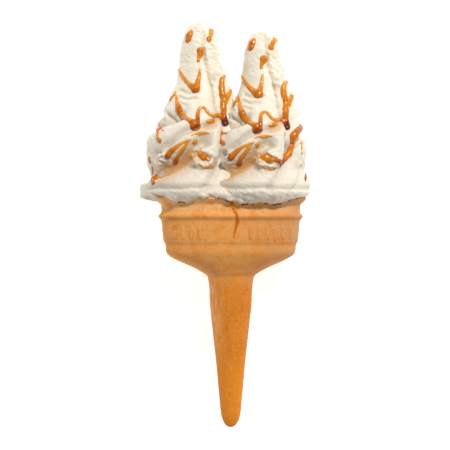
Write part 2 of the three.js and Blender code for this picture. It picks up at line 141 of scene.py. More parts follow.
# Ridges: the crest, how far the surface drops above it, over which lip, and over which reach it
# comes out again.
RIDGES = [
    (
        ((-190, 2), (-95, 5.9), (-51, 8.6), (-29, 11.5), (-11, 17), (1, 22.4), (9, 26.4),
         (17, 28.4), (27, 29.5)),
        7.4, 1.6, 13,
    ),
    (SHOULDER_CREST, 4.4, 1.8, 9),
    (((-64, 17), (-36, 24), (-18, 32.6), (8, 36.6), (25, 39), (42, 43)), 3.4, 3.4, 6),
    (((80, 14), (150, 22), (210, 29), (270, 35.4), (314, 40.7), (346, 44.5)), 5, 2.2, 9),
    (((130, 33), (200, 40), (270, 45.8), (296, 47)), 3.8, 2, 5),
    (((-250, 8), (-190, 14), (-120, 21), (-80, 24)), 2.8, 2.4, 7),
    (
        ((-66, 2.2), (-40, 2.8), (-15, 2.5), (0, 3), (30, 2.4), (60, 2.8), (90, 2.4), (150, 2.6)),
        1.2, 1, 4,
    ),
]
RIDGE_FADE = 16  # degrees over which a ridge rises at its start and fades at its end

# Lumps and hollows along (turn, height) paths, with their width and height.
MARKS = [
    (((2, 21), (11, 24), (19, 21.5)), 4.2, 3.4),
    (((21, 23), (17, 27), (9, 28.2), (1, 26.6), (-2, 22.6), (2, 18.6), (10, 17.4), (18, 18.8)), 1.5, 1.9),
    (((5, 24.4), (13, 22)), 2.4, -1.6),
    (((-44, 20.5), (-38, 25)), 3, 3.6),
    (((13, 4), (27, 15), (42, 24)), 3.2, -2.4),
    (((42, 5), (52, 11), (66, 18)), 2.2, -1.6),
    (((40, 27), (40, 35), (43, 46)), 3.6, -4.5),
    (((15, 105), (15, 92), (15, 84), (19, 74), (26, 64), (31, 56)), 1.1, -3.3),
    (((34, 50), (34, 60), (30, 68)), 4.6, -3.6),
    (((-46, 63.5), (-24, 61.4), (-6, 62.5)), 1, -1.5),
    (((-44, 59.6), (-24, 57.6), (-10, 58.4)), 1, -1.4),
    (((-40, 56), (-22, 54)), 1, -1.1),
    (((-60, 49.5), (-45, 46), (-36, 42.7)), 1.3, -2),
    (((-104, -1.2), (-84, -1.2)), 3.2, 2.2),
    (((-110, -3.4), (-74, -3.4)), 1.5, 4.2),
    (((-130, 9), (-92, 7.8)), 2, 3.8),
    (((190, 60), (205, 98)), 3, -2.4),
]

# Torn or rough places: turn, height, reach along the surface, and how rough.
ROUGH_SPOTS = [
    (11, 21.5, 7, 1.2), (-42, 22, 5.5, 1.3), (62, 64, 14, 0.7), (66, 84, 14, 0.75),
    (-78, 52, 11, 0.6), (30, 103, 6, 1), (-10, 105, 4, 0.8), (75, 30, 12, 0.7),
    (-88, -2, 6, 0.6),
]
# The lower edge is rough too, and the heights are those over which that fades.
HEM_ROUGHNESS, HEM_HEIGHTS = 0.35, (1.0, 4.5)

# Roughness as height, wavelength and what it adds to the swirl's seed: slanting folds and crumbs
# where the ice cream is torn, waves and grain everywhere, and a combed patch under the shoulder.
TORN_FOLDS, TORN_CRUMBS = (1.6, 2.4, 0), (0.8, 1.2, 9)
WAVES, GRAIN = (0.35, 6.0, 5), (0.2, 1.5, 2)
COMB = (0.7, 1.8, 1)
FOLD_SLANT = np.array([[1, 0.55, 0], [-0.55, 1, 0], [0, 0, 1]])
FOLD_STRETCH = np.array([0.45, 1, 0.6])
COMB_STRETCH = (1.0, 0.25, 1.0)
COMB_TURNS, COMB_DEPTHS = (26, 44, 84, 100), (-1.5, 0.5, 5, 8)  # start, full, fading and end

# Where sauce has soaked in, with painted warm shade in the grooves it lies in: a path of (turn, height),
# its reach and how strong the tint is.
SOAKED_AND_GROOVE_SHADE = [
    (((-36, 14), (-23, 16.5), (-11, 21), (-4, 24)), 5.5, 1.0),
    (((14, 42), (26, 44)), 3.0, 0.8),
]

COIL_SHADE_FROM, COIL_SHADE_TO = 36, 62  # heights over which the painted shade on the lower coils ends

# The skirt at the foot of a swirl: how far it lifts at its left and right sides and at the corner
# between the left side and the front, and the waves of its edge, with height, number and phase.
SKIRT_HEIGHTS = (-2, 4)  # distances below the rim over which the lift sets in
LEFT_LIFT, LEFT_LIFT_FOR_CORNER, RIGHT_LIFT = 1.0, 0.3, 2.4
CORNER_TURN, CORNER_REACH = -48, 14
SKIRT_WAVES = ((0.4, 7, 1), (0.3, 12, 0))

# How the rows of a swirl are spread: share of the rows, and the height reached there.
ROW_SPREAD = [(0.0, -6.2), (0.08, -3.4), (0.74, 60.0), (0.95, 102.0), (1.0, 105.6)]
SWIRL_AROUND, SWIRL_ROWS = 400, 300

# Each swirl: the CAD node that it stands for, its middle, its size beside the taller one's, how
# far its back swells, how far its corner lifts, its seed, and how far it keeps off the ground.
SWIRLS = {
    "left": {
        "node": "soft_serve_left", "x": -19.0, "z": 27.0, "scale": 1.0,
        "back": 1.0, "corner": 4.2, "seed": 3.0, "lift": 0.0,
    },
    "right": {
        "node": "soft_serve_right", "x": 19.3, "z": 33.2, "scale": 0.95,
        "back": 1.2, "corner": 0.0, "seed": 41.0, "lift": 0.1,
    },
}

# The bed under both swirls: distance below the rim, half width, half depth.
BED_ROWS = [(1.6, 36.0, 24.0), (1.2, 39.2, 28.4), (0.2, 41.0, 30.0), (-1.4, 41.5, 30.5), (-4.0, 39.0, 29.0)]
BED_TOP = (-7.0, 33.0, 25.0)
BED_SHIFT = 2.5
BED_RINGS, BED_AROUND = 60, 360
# Above the rim the bed reaches further to the left, over the mouth. The heights are those over
# which that sets in.
BED_LEFT, BED_LEFT_HEIGHTS = 0.13, (-0.8, 0.1)
# Where its edge hangs lower: x, reach, depth. The waves of the edge have height, radians for each
# millimetre, and phase. Both set in over the drops given last.
BED_DIPS = [(-27.0, 9.0, 2.4), (13.0, 16.0, 3.2), (-6.0, 6.0, -1.4)]
BED_WAVES = ((0.5, 0.9, 0), (0.35, 2.3, 1))
BED_HANG_DROPS = (-3, 1.5)

SEAM_X, SEAM_OVERLAP = -1.0, 0.8  # where the halves of the bed meet, and how far each passes it
CREAM_VOXEL = 0.56
CREAM_SMOOTHING = (0.5, 3)  # factor and passes
FINE_PASSES, BROAD_PASSES = 60, 260  # smoothing passes that measure small and large hollows

# ---------------- the sauce

# Threads and drops on each swirl as they show from above: (across, height, half width).
SAUCE = [
    [(-4, 95.4, 2.2), (-3.7, 97.8, 3), (-2.8, 99.8, 1.9), (-2, 101.2, 0.8)],
    [(10.6, 101, 1.9), (9.9, 98.6, 1.4), (8.8, 95.4, 1.9)],
    [(4, 88.7, 2.4), (3.2, 86, 1.7), (2.5, 84.5, 1.1), (2.3, 82.7, 1.2)],
    [(-10.9, 78.6, 1), (-9.3, 76.3, 1.4), (-6.7, 72, 1.4), (-3.2, 68.1, 1.7), (0.6, 65.7, 2.9)],
    [(0.6, 65.7, 2.9), (2, 70, 1.6), (2.9, 74.6, 1.1), (3.1, 78.1, 0.6)],
    [(-11.7, 63.7, 0.9), (-13, 61.3, 1.5), (-14.6, 58.9, 1.7)],
    [(-11.5, 62.4, 0.8), (-10.8, 56.7, 1.5), (-9.7, 53, 2.7), (-7.2, 48.9, 1.9), (-3.3, 46.5, 1.7),
     (-0.6, 44.8, 2.7), (0.2, 42.4, 3.5)],
    [(1.8, 45.5, 1.6), (2.1, 52, 1.2), (3.4, 54, 1.1), (4.8, 54.5, 1.1), (6.4, 53.4, 1.1),
     (7.9, 51.4, 1.2), (10.7, 48.9, 1.3), (14.6, 49.5, 1.4), (18.5, 45.6, 2)],
    [(8, 45.6, 1.3), (9.9, 45.7, 1.6), (11.6, 46.2, 1.1)],
    [(-2.1, 37, 0.5), (0.8, 38.1, 0.9), (3.6, 38.5, 1.1), (6.4, 38.7, 0.9), (8.9, 38.4, 0.5)],
    [(-2.6, 34.6, 0.6), (-7.2, 32.8, 0.8), (-11.2, 30.2, 1.3), (-14.6, 27.4, 1.9), (-16.8, 24.4, 2)],
    [(-3.9, 33.2, 0.6), (-6.6, 29.4, 1.2), (-8.8, 26.4, 1.4), (-10.7, 23.8, 1.3), (-11.6, 20.8, 1.8)],
    [(0, 32.8, 1.7), (0.4, 33.4, 1.6)],
    [(-21.8, 43.9, 0.8), (-21.6, 40.7, 1), (-22.8, 38.2, 0.9), (-23.2, 35.8, 1.2), (-21.2, 33.9, 1.7)],
    [(-21.6, 40.7, 0.8), (-19.2, 40.3, 0.7)],
    [(-27.7, 22.8, 1.5), (-27.5, 21.3, 1.5)],
    [(-25.9, 17.9, 0.9), (-25.7, 13.8, 1.2)],
    [(-23.6, 11.6, 2.1), (-24.4, 10, 1.9), (-25.6, 8.2, 1.5)],
    [(-22.5, 11.1, 1), (-19, 11.6, 0.7), (-15.1, 13.2, 0.6)],
    [(3.4, 25.3, 1.7), (5.4, 24.6, 2.5), (7.4, 23.5, 2.5), (8.7, 22.3, 1.6)],
    [(1.9, 20.6, 0.3), (4.3, 18.4, 0.6), (7, 17.3, 0.8), (9.6, 17.3, 0.9), (11.8, 18.4, 0.7)],
    [(18.6, 73.7, 1.2), (16.8, 71.1, 1.7), (16.6, 65, 2.1), (18.1, 60.6, 2.3), (17.6, 54.3, 2.2),
     (17.6, 48.5, 2.1), (18.5, 44.4, 2.5)],
    [(21.9, 64.4, 1.7), (20.3, 61, 1.7), (18.5, 57.5, 1.7)],
]
RIGHT_ONLY = [
    [(27, 43.3, 2.6), (25.2, 41.4, 2.5), (23.6, 39, 2.4), (22.4, 36.5, 2.4), (21.6, 33.7, 2.5),
     (20.6, 30, 2.4), (18.2, 26.5, 2.2), (15.8, 23.5, 2.3), (14.4, 20.6, 2)],
    [(5.5, 24.1, 2), (8.1, 23.6, 1.8), (12, 23.4, 1.5), (14.2, 22, 1.6)],
    [(27.6, 35.3, 0.6), (27.5, 32.8, 0.8), (27.6, 30.5, 0.6)],
    [(27.8, 27.9, 0.8), (27.8, 27.3, 0.9)],
    [(30.2, 14.2, 0.9), (30.2, 12, 1.3), (30, 10.4, 1)],
]
# Threads that run down the sides and the back: distance round from the middle of the front, in
# millimetres at SIDE_ARC for each degree, height, half width.
SIDE_ARC = 0.45
SIDE_SAUCE = {
    "left": [
        [(-54, 84, 1), (-58, 76, 1.3), (-56, 68, 1.1), (-61, 60, 1.7)],
        [(-53, 50, 0.9), (-57, 42, 1.3), (-55, 35, 1.9)],
        [(-70, 95, 1.4), (-74, 86, 1.1), (-71, 78, 1.8)],
        [(64, 92, 1.2), (68, 84, 1.5), (65, 74, 1.2), (71, 66, 1.9)],
        [(-50, 24, 1.2), (-51, 19, 1.6)],
        [(-76, 60, 1), (-80, 52, 1.6)],
    ],
    "right": [
        [(54, 86, 1), (58, 78, 1.3), (56, 70, 1.1), (61, 61, 1.8)],
        [(53, 50, 0.9), (56, 42, 1.4), (53, 34, 1.9)],
        [(-62, 94, 1.3), (-67, 84, 1.2), (-64, 76, 1.8)],
        [(68, 98, 1.3), (74, 90, 1.1), (72, 82, 1.7)],
        [(52, 24, 1.1), (54, 19, 1.5)],
        [(78, 62, 1), (82, 55, 1.6)],
    ],
}
# Where the sauce has pooled and looks darkest: across, height, reach, how much darker.
DARK_POOLS = [
    (18.5, 44.6, 4.5, 0.66), (14.2, 20.6, 3.4, 0.6), (2.4, 46.6, 3, 0.4),
    (0.3, 41.5, 3.6, 0.4), (-12.2, 21.4, 3, 0.5), (27, 43.3, 2.6, 0.3),
    (-16.3, 24, 2.2, 0.4), (-28, 22, 3, 0.5), (30.2, 12, 3, 0.6),
    (-22.2, 38, 6, 0.3), (-24.6, 10.5, 4, 0.25), (-13, 27, 3, 0.2),
]
# A thin run down the cup: x, distance below the rim, half width.
CUP_RUN = [
    (3.6, 4, 1.1), (4.6, 7.4, 1), (6.2, 10.5, 0.9), (7.4, 13.5, 1.1), (6.9, 16.4, 1.2),
    (6, 19.5, 0.9), (5.3, 23, 0.7), (5, 25.2, 0.5),
]
RUN_SINK, RUN_TONE = 0.6, 0.25

THREAD_STEP = 0.45  # distance between beads along a thread
THREAD_EXTRA = 0.35  # what the fusing and smoothing take off a thread's half width
THREAD_SINK = 0.4  # the share of a bead's radius that lies in the ice cream
THREAD_WANDER, WANDER_WAVES, WANDER_SEED = 0.18, 0.7, 5.0
OFF_GROUND = 0.2
EASED_OVER = 3  # each bead is moved to the mean of its neighbours up to so many away
THREAD_TONE, TONE_FOR_WIDTH = 0.02, 0.17
SAUCE_VOXEL = 0.32
SAUCE_SMOOTHING = (0.6, 6)
TONE_BEADS = 5  # beads that share in the tone of a point
SIDE_START = 80.0  # a distance from a swirl's middle that is outside its skin

# Dark dashes along the ice cream's lower edge, made of the darkest sauce as a painted shadow line under the
# edge: first and last x.
HEM_SHADOW_DASHES = [
    (-28.8, -25), (-4.9, -4), (-0.4, 2.8), (8.6, 13.6), (16, 16.8), (23.2, 25.8),
    (28, 34.2), (37.3, 39.2), (43, 43.6),
]
HEM_DROPS = (16.0, -4.0, -0.15)  # distances below the rim at which the edge is looked for
HEM_STEP = 0.2
HEM_RADIUS, HEM_RADIUS_WAVE = 0.58, 0.25
HEM_EASED_OVER = 3
HEM_DEPTH_RANGE = 0.5  # how far a dash may leave its middle depth
HEM_SINK = (0.1, 0.2)  # how far its beads lie down the cup and into it
# The dashes take nearly the darkest sauce tone, for the painted shadow.
HEM_SHADOW_TONE = 0.95

# ---------------- camera, light and floor

CAMERA_X, CAMERA_Y = -0.5, 0.1
MIDDLE_Z = 28.0  # the height at which the framing is measured
VIEW_WIDTH = 274.5
LENS, SENSOR = 135.0, 36.0
CAMERA_Z = MIDDLE_Z + VIEW_WIDTH * LENS / SENSOR
CAMERA_REACH = 20  # metres

SKY_LIGHT = 0.33
KEY_PLACE, KEY_AIM = (0.5, 1.2, 1.76), (0, 0.03, 0.03)  # metres
KEY_WIDTH, KEY_POWER = 0.24, 37.0  # metres and watts
FLOOR_HALF, FLOOR_GLOW = 3000.0, 0.75


def camera():
    data = bpy.data.cameras.new("camera")
    data.lens = LENS
    data.sensor_width = SENSOR
    data.clip_end = CAMERA_REACH
    eye = bpy.data.objects.new("camera", data)
    eye.location = Vector((CAMERA_X, CAMERA_Y, CAMERA_Z)) * MM
    bpy.context.collection.objects.link(eye)
    bpy.context.scene.camera = eye


# ---------------- shape helpers


def table_at(table, at, column=1):
    """A smooth curve through a table's rows, read at each value of its first column."""
    rows = np.array(table, float)
    x, y = rows[:, 0], rows[:, column]
    at = np.asarray(at, float)
    slopes = np.empty_like(y)
    slopes[1:-1] = (y[2:] - y[:-2]) / (x[2:] - x[:-2])
    slopes[0] = (y[1] - y[0]) / (x[1] - x[0])
    slopes[-1] = (y[-1] - y[-2]) / (x[-1] - x[-2])
    i = np.clip(np.searchsorted(x, at, side="right") - 1, 0, len(x) - 2)
    span = x[i + 1] - x[i]
    s = np.clip((at - x[i]) / span, 0, 1)
    start, end, rise = slopes[i] * span, slopes[i + 1] * span, y[i + 1] - y[i]
    return y[i] + s * start + s**2 * (3 * rise - 2 * start - end) + s**3 * (start + end - 2 * rise)


def ramp(value, low, high):
    """0 at low and 1 at high, with a smooth rise between them."""
    s = np.clip((np.asarray(value, float) - low) / (high - low), 0, 1)
    return s * s * (3 - 2 * s)


def band(value, start, full, fading, end):
    """1 between full and fading, and 0 before start and after end."""
    return ramp(value, start, full) * (1 - ramp(value, fading, end))


def dome(distance, reach):
    """1 at no distance, falling to nothing past the reach."""
    return np.exp(-((distance / reach) ** 2))


def ripple(points, length, seed=0.0):
    """Smooth noise between -1 and 1 at each point, in waves about as long as length."""
    step = 1.0 / length
    return np.array([noise.noise((x * step + seed, y * step, z * step)) for x, y, z in points])


def roughness(points, kind, seed, share=1.0):
    """The height of one kind of roughness at each point, by the share that each point has of it."""
    height, length, more_seed = kind
    return height * share * ripple(points, length, seed + more_seed)


def shade_smooth(mesh):
    mesh.polygons.foreach_set("use_smooth", [True] * len(mesh.polygons))


def mesh_of(name, points, faces):
    """A smooth-shaded object from points in millimetres."""
    mesh = bpy.data.meshes.new(name)
    mesh.from_pydata([tuple(point) for point in np.asarray(points) * MM], [], faces)
    mesh.validate()
    mesh.update()
    shade_smooth(mesh)
    piece = bpy.data.objects.new(name, mesh)
    bpy.context.collection.objects.link(piece)
    return piece


def ring_solid(name, rings):
    """A closed object through rings of points, listed along the way with each ring anticlockwise
    as seen from the end."""
    rows, columns = rings.shape[:2]
    points = rings.reshape(-1, 3)
    points = np.vstack([points, rings[0].mean(axis=0), rings[-1].mean(axis=0)])
    faces = []
    for row in range(rows - 1):
        for column in range(columns):
            across = (column + 1) % columns
            low, high = row * columns, (row + 1) * columns
            faces.append((low + column, low + across, high + across, high + column))
    first, last = rows * columns, rows * columns + 1
    top = (rows - 1) * columns
    for column in range(columns):
        across = (column + 1) % columns
        faces.append((first, across, column))
        faces.append((last, top + column, top + across))
    return mesh_of(name, points, faces)


def smoothed(piece, factor, passes):
    """Gives the piece a smoothing modifier."""
    soften = piece.modifiers.new("soften", "SMOOTH")
    soften.factor = factor
    soften.iterations = passes


def finished(piece):
    """The piece with its modifiers applied."""
    graph = bpy.context.evaluated_depsgraph_get()
    mesh = bpy.data.meshes.new_from_object(piece.evaluated_get(graph))
    piece.modifiers.clear()
    piece.data = mesh
    shade_smooth(mesh)
    return piece


def joined(pieces):
    """The first of several objects, with the meshes of all."""
    with bpy.context.temp_override(active_object=pieces[0], selected_editable_objects=pieces):
        bpy.ops.object.join()
    return pieces[0]


def at_points(piece, what):
    """A vector of each of the mesh's points, such as its place or its normal."""
    flat = np.empty(len(piece.data.vertices) * 3)
    piece.data.vertices.foreach_get(what, flat)
    return flat.reshape(-1, 3)


def positions(piece):
    return at_points(piece, "co") / MM


def normals(piece):
    return at_points(piece, "normal")


def place(piece, points):
    piece.data.vertices.foreach_set("co", (points * MM).ravel())
    piece.data.update()


def paint(piece, name, values):
    """A number at each point of the mesh, for the piece's material."""
    layer = piece.data.attributes.new(name, "FLOAT", "POINT")
    layer.data.foreach_set("value", np.asarray(values, np.float32))


def inside_box(points):
    """The points, none of them outside the CAD's box."""
    low, high = (np.array(corner) / MM for corner in CAD_BOX)
    return np.clip(points, low, high)


def stood_for(piece, node):
    """Gives the piece the body of a CAD node, and the node's place in the render."""
    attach(piece, "root")
    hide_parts(node)
    return piece


def add_node(tree, kind, sockets=(), stops=(), **settings):
    """A node with its settings and its ramp's stops, and then with values or links in its sockets."""
    made = tree.nodes.new(kind)
    for key, value in settings.items():
        setattr(made, key, value)
    if stops:
        elements = made.color_ramp.elements
        while len(elements) < len(stops):
            elements.new(0.5)
        for element, (at, colour) in zip(elements, stops):
            element.position = at
            element.color = (*colour, 1.0)
    for key, value in dict(sockets).items():
        feed(tree, made.inputs[key], value)
    return made


def feed(tree, inlet, value):
    """Puts a link, a colour or another value into a node's socket."""
    if isinstance(value, Socket):
        value = value.socket
    if isinstance(value, bpy.types.NodeSocket):
        tree.links.new(value, inlet)
    elif inlet.type == "RGBA":
        inlet.default_value = (*value, 1.0)
    else:
        inlet.default_value = value


# ---------------- the wafer cone


def oval(turn, half_width, half_depth, squareness):
    """A point of an oval whose exponent sets how square it is."""
    power = 2 / squareness
    across = np.sign(np.sin(turn)) * np.abs(np.sin(turn)) ** power
    up = np.sign(np.cos(turn)) * np.abs(np.cos(turn)) ** power
    return half_width * across, half_depth * up


def even_turns():
    """Turns at which the points of the panel's oval are evenly spaced."""
    fine = np.linspace(0, 2 * np.pi, OVAL_STEPS)
    across, up = oval(fine, *PANEL_OVAL, CUP_SQUARENESS)
    along = np.concatenate([[0], np.cumsum(np.hypot(np.diff(across), np.diff(up)))])
    return np.interp(np.linspace(0, along[-1], WAFER_AROUND, endpoint=False), along, fine)


def wafer_rings(rows, count):
    """Rings through a wafer table, evenly spread along its outline."""
    rows = np.array(rows)
    steps = np.hypot(np.diff(rows[:, 0]), np.diff(rows[:, 1]))
    along = np.concatenate([[0], np.cumsum(np.maximum(steps, SHORTEST_STEP))])
    table = np.column_stack([along, rows])
    at = np.linspace(0, along[-1], count)
    drop, width, depth = (table_at(table, at, column) for column in (1, 2, 3))
    square = CUP_SQUARENESS + (STEM_SQUARENESS - CUP_SQUARENESS) * ramp(drop, CUP_FOOT, STEM_TOP)
    turn = even_turns()
    rings = np.empty((count, WAFER_AROUND, 3))
    for i in range(count):
        across, up = oval(turn, width[i], depth[i], square[i])
        rings[i] = np.column_stack([CONE_X + across, np.full(WAFER_AROUND, RIM_Y - drop[i]), CONE_Z + up])
    return rings


def wafer():
    """The whole wafer with its grain and its raised bars. It paints bar_edge round the bars."""
    outside = wafer_rings(WAFER_OUTSIDE, OUTSIDE_RINGS)
    inside = wafer_rings(WAFER_INSIDE, INSIDE_RINGS)
    piece = ring_solid("wafer_cone_skin", np.concatenate([inside[::-1], outside])[:, ::-1])
    points = positions(piece)
    relief = sum(height * ripple(points, length, seed) for height, length, seed in WAFER_RELIEF)
    x, drop = points[:, 0], RIM_Y - points[:, 1]
    front = points[:, 2] > CONE_Z
    half_run = BAR_LENGTH / 2 - BAR_RADIUS
    edge = np.zeros(len(points))
    for first, last, count in BAR_GROUPS:
        for middle in np.linspace(first, last, count):
            beyond = np.maximum(np.abs(drop - BAR_MIDDLE) - half_run, 0)
            away = np.hypot(x - middle, beyond)
            top = 1 - ramp(away, BAR_RADIUS * BAR_FLAT, BAR_RADIUS)
            relief += np.where(front, BAR_PROUD * top, 0)
            edge = np.maximum(edge, np.where(front, dome(away - BAR_RADIUS, BAR_EDGE), 0))
    place(piece, inside_box(points + normals(piece) * relief[:, None]))
    paint(piece, "bar_edge", edge)
    return piece


# ---------------- the ice cream


def ridge_drop(ridge, turn, height):
    """How far one ridge takes the surface in, at each turn and height."""
    crest, drop, lip, reach = ridge
    first, last = crest[0][0], crest[-1][0]
    total = np.zeros_like(turn)
    for lap in (-360, 0, 360):
        around = turn + lap
        here = (around >= first) & (around <= last)
        fade = band(around, first, first + RIDGE_FADE, last - RIDGE_FADE, last)
        above = height - table_at(crest, around)
        total += np.where(here, drop * fade * band(above, 0, lip, lip, lip + reach), 0)
    return total


def path_distance(path, turn, height, radius):
    """Distance along the surface to a path of (turn, height) points."""
    per_degree = radius * np.pi / 180
    nearest = np.full_like(turn, np.inf)
    for (turn_a, a), (turn_b, b) in zip(path[:-1], path[1:]):
        offset = (turn - turn_a + 180) % 360 - 180
        step_x, step_y = (turn_b - turn_a) * per_degree, b - a
        to_x, to_y = offset * per_degree, height - a
        s = np.clip((to_x * step_x + to_y * step_y) / (step_x**2 + step_y**2 + 1e-9), 0, 1)
        nearest = np.minimum(nearest, np.hypot(to_x - s * step_x, to_y - s * step_y))
    return nearest


def surface_radius(turn, height):
    """A swirl's radius with its ridges and marks."""
    plain = table_at(PROFILE, height, 1)
    fade = ramp(plain, *TIP_RADII)
    radius = plain.copy()
    for ridge in RIDGES:
        radius -= fade * ridge_drop(ridge, turn, height)
    for path, width, rise in MARKS:
        radius += fade * rise * dome(path_distance(path, turn, height, plain), width)
    return np.maximum(radius, LEAST_RADIUS)


def skirt_lift(turn, corner_lift):
    """How far the skirt lifts at each turn."""
    angle = np.radians(turn)
    left_lift = LEFT_LIFT + LEFT_LIFT_FOR_CORNER * corner_lift
    lift = np.where(np.sin(angle) < 0, left_lift, RIGHT_LIFT) * np.sin(angle) ** 4
    lift = lift + corner_lift * dome(turn - CORNER_TURN, CORNER_REACH)
    for height, count, phase in SKIRT_WAVES:
        lift = lift + height * np.sin(count * angle + phase)
    return lift


def widening(swirl):
    """A swirl's width beside the taller one's, which shrinks half as much as its height."""
    return 0.5 + 0.5 * swirl["scale"]


def swirl_rings(swirl):
    """Rings of points round a swirl, from its foot to its peak."""
    turn, height = np.meshgrid(
        np.linspace(-180, 180, SWIRL_AROUND, endpoint=False),
        table_at(ROW_SPREAD, np.linspace(0, 1, SWIRL_ROWS)),
    )
    radius = surface_radius(turn, height) * widening(swirl)
    angle = np.radians(turn)
    depth_ratio = 1 + (DEPTH_RATIO - 1) * ramp(height, *DEPTH_HEIGHTS)
    back = np.where(np.cos(angle) < 0, swirl["back"], 1.0)
    across = np.sin(angle) * radius + table_at(PROFILE, height, 2)
    step = PEAK_STEP * ramp(across, *PEAK_STEP_ACROSS) * ramp(height, *PEAK_STEP_HEIGHTS)
    skirt = ramp(-height, *SKIRT_HEIGHTS) * skirt_lift(turn, swirl["corner"])
    return np.stack(
        [
            swirl["x"] + across,
            RIM_Y + (height - step + skirt) * swirl["scale"],
            swirl["z"] + np.cos(angle) * radius * depth_ratio * back,
        ],
        axis=-1,
    )


def bed_rings():
    """Rings of points round the bed, whose edge hangs over the rim."""
    table = [(row[0],) + row for row in reversed(BED_ROWS + [BED_TOP])]
    drops = np.linspace(BED_TOP[0], BED_ROWS[0][0], BED_RINGS)
    turn = np.linspace(0, 2 * np.pi, BED_AROUND, endpoint=False)
    rings = np.empty((BED_RINGS, BED_AROUND, 3))
    for i, drop in enumerate(drops):
        across, up = oval(turn, table_at(table, drop, 2), table_at(table, drop, 3), CUP_SQUARENESS)
        further_left = 1 + BED_LEFT * ramp(-drop, *BED_LEFT_HEIGHTS)
        across = np.where(across < 0, across * further_left, across)
        x = CONE_X + BED_SHIFT + across
        hang = sum(depth * dome(x - dip, reach) for dip, reach, depth in BED_DIPS)
        ragged = sum(height * np.sin(x * waves + phase) for height, waves, phase in BED_WAVES)
        y = RIM_Y - drop - ramp(drop, *BED_HANG_DROPS) * (hang + ragged)
        rings[i] = np.column_stack([x, y, CONE_Z + up])
    return rings[:, ::-1]


def half_bed(side):
    """The bed cut down to the side of one swirl."""
    bed = ring_solid("bed_" + side, bed_rings())
    points = positions(bed)
    if side == "left":
        points[:, 0] = np.minimum(points[:, 0], SEAM_X + SEAM_OVERLAP)
    else:
        points[:, 0] = np.maximum(points[:, 0], SEAM_X - SEAM_OVERLAP)
    place(bed, points)
    return bed


def hollows(piece):
    """How deep each point of a mesh lies below the surface smoothed a little and smoothed a lot,
    in millimetres."""
    flat = np.empty(len(piece.data.edges) * 2, np.int32)
    piece.data.edges.foreach_get("vertices", flat)
    a, b = flat.reshape(-1, 2).T
    points = positions(piece)
    ends, others = np.concatenate([a, b]), np.concatenate([b, a])
    shares = np.bincount(ends, minlength=len(points))[:, None]
    smooth = points.copy()
    outward = normals(piece)
    found = []
    for step in range(1, BROAD_PASSES + 1):
        near = [np.bincount(ends, smooth[others, axis], len(points)) for axis in range(3)]
        smooth = np.stack(near, axis=1) / shares
        if step in (FINE_PASSES, BROAD_PASSES):
            found.append(np.einsum("ij,ij->i", smooth - points, outward))
    return found


def swirl_place(swirl, points):
    """The turn and the height on a swirl at each point."""
    height = (points[:, 1] - RIM_Y) / swirl["scale"]
    across = points[:, 0] - swirl["x"] - table_at(PROFILE, height, 2)
    depth = points[:, 2] - swirl["z"]
    return np.degrees(np.arctan2(across, depth)), height


def torn_places(turn, height, radius):
    """How torn or rough the ice cream is at each point."""
    rough = np.zeros(len(turn))
    for spot_turn, spot_height, reach, amount in ROUGH_SPOTS:
        spot = ((spot_turn, spot_height), (spot_turn + 0.1, spot_height))
        rough = np.maximum(rough, amount * dome(path_distance(spot, turn, height, radius), reach))
    return np.maximum(rough, HEM_ROUGHNESS * (1 - ramp(height, *HEM_HEIGHTS)))


def combed_places(turn, height):
    """How clearly the combed patch under the shoulder's crest shows at each point."""
    within = np.clip(turn, SHOULDER_CREST[0][0], COMB_TURNS[-1])
    below_crest = table_at(SHOULDER_CREST, within) - height
    return band(turn, *COMB_TURNS) * band(below_crest, *COMB_DEPTHS)


def cream(side):
    """One swirl with its share of the bed, fused into one skin and roughened where it is torn. It
    paints hollow and deep, which carry painted shade in its hollows and a painted highlight on its
    bumps, amber, for soaked sauce and painted warm shade in its grooves, and torn, which also
    carries painted light on the torn places, for the ice cream's material."""
    swirl = SWIRLS[side]
    form = ring_solid("cream_" + side, swirl_rings(swirl))
    piece = joined([form, half_bed(side)])
    fuse = piece.modifiers.new("fuse", "REMESH")
    fuse.mode = "VOXEL"
    fuse.voxel_size = CREAM_VOXEL * MM
    smoothed(piece, *CREAM_SMOOTHING)
    finished(piece)

    points = positions(piece)
    turn, height = swirl_place(swirl, points)
    radius = np.maximum(table_at(PROFILE, height, 1), 1)
    torn = torn_places(turn, height, radius)
    seed = swirl["seed"]
    shift = roughness(points @ FOLD_SLANT * FOLD_STRETCH, TORN_FOLDS, seed, torn)
    shift += roughness(points, TORN_CRUMBS, seed, torn)
    shift += roughness(points, WAVES, seed) + roughness(points, GRAIN, seed)
    shift += roughness(points * COMB_STRETCH, COMB, seed, combed_places(turn, height))
    points = points + normals(piece) * shift[:, None]
    points[:, 2] = np.maximum(points[:, 2], swirl["lift"])
    place(piece, inside_box(points))

    hollow, deep = hollows(piece)
    paint(piece, "hollow", hollow)
    paint(piece, "deep", deep)
    amber = [
        amount * dome(path_distance(path, turn, height, radius), reach)
        for path, reach, amount in SOAKED_AND_GROOVE_SHADE
    ]
    paint(piece, "amber", np.maximum(*amber))
    paint(piece, "torn", torn)
    return piece


# ---------------- the sauce


def thread_points(path):
    """Points spread evenly along a path, with the half width at each."""
    path = np.array(path, float)
    length = np.concatenate([[0], np.cumsum(np.hypot(*np.diff(path[:, :2], axis=0).T))])
    table = np.column_stack([length, path])
    at = np.linspace(0, length[-1], max(int(length[-1] / THREAD_STEP), 2))
    return np.column_stack([table_at(table, at, column) for column in (1, 2, 3)])


def hit(skin, start, aim):
    """Where a ray meets a skin, and the skin's normal there."""
    spot, normal, _, _ = skin.ray_cast(start * MM, aim.normalized())
    return spot, normal


def seen_point(skin, x, y):
    """The point of a skin that shows from above at x, y in the middle plane."""
    eye = Vector((CAMERA_X, CAMERA_Y, CAMERA_Z))
    return hit(skin, eye, Vector((x, y, MIDDLE_Z)) - eye)


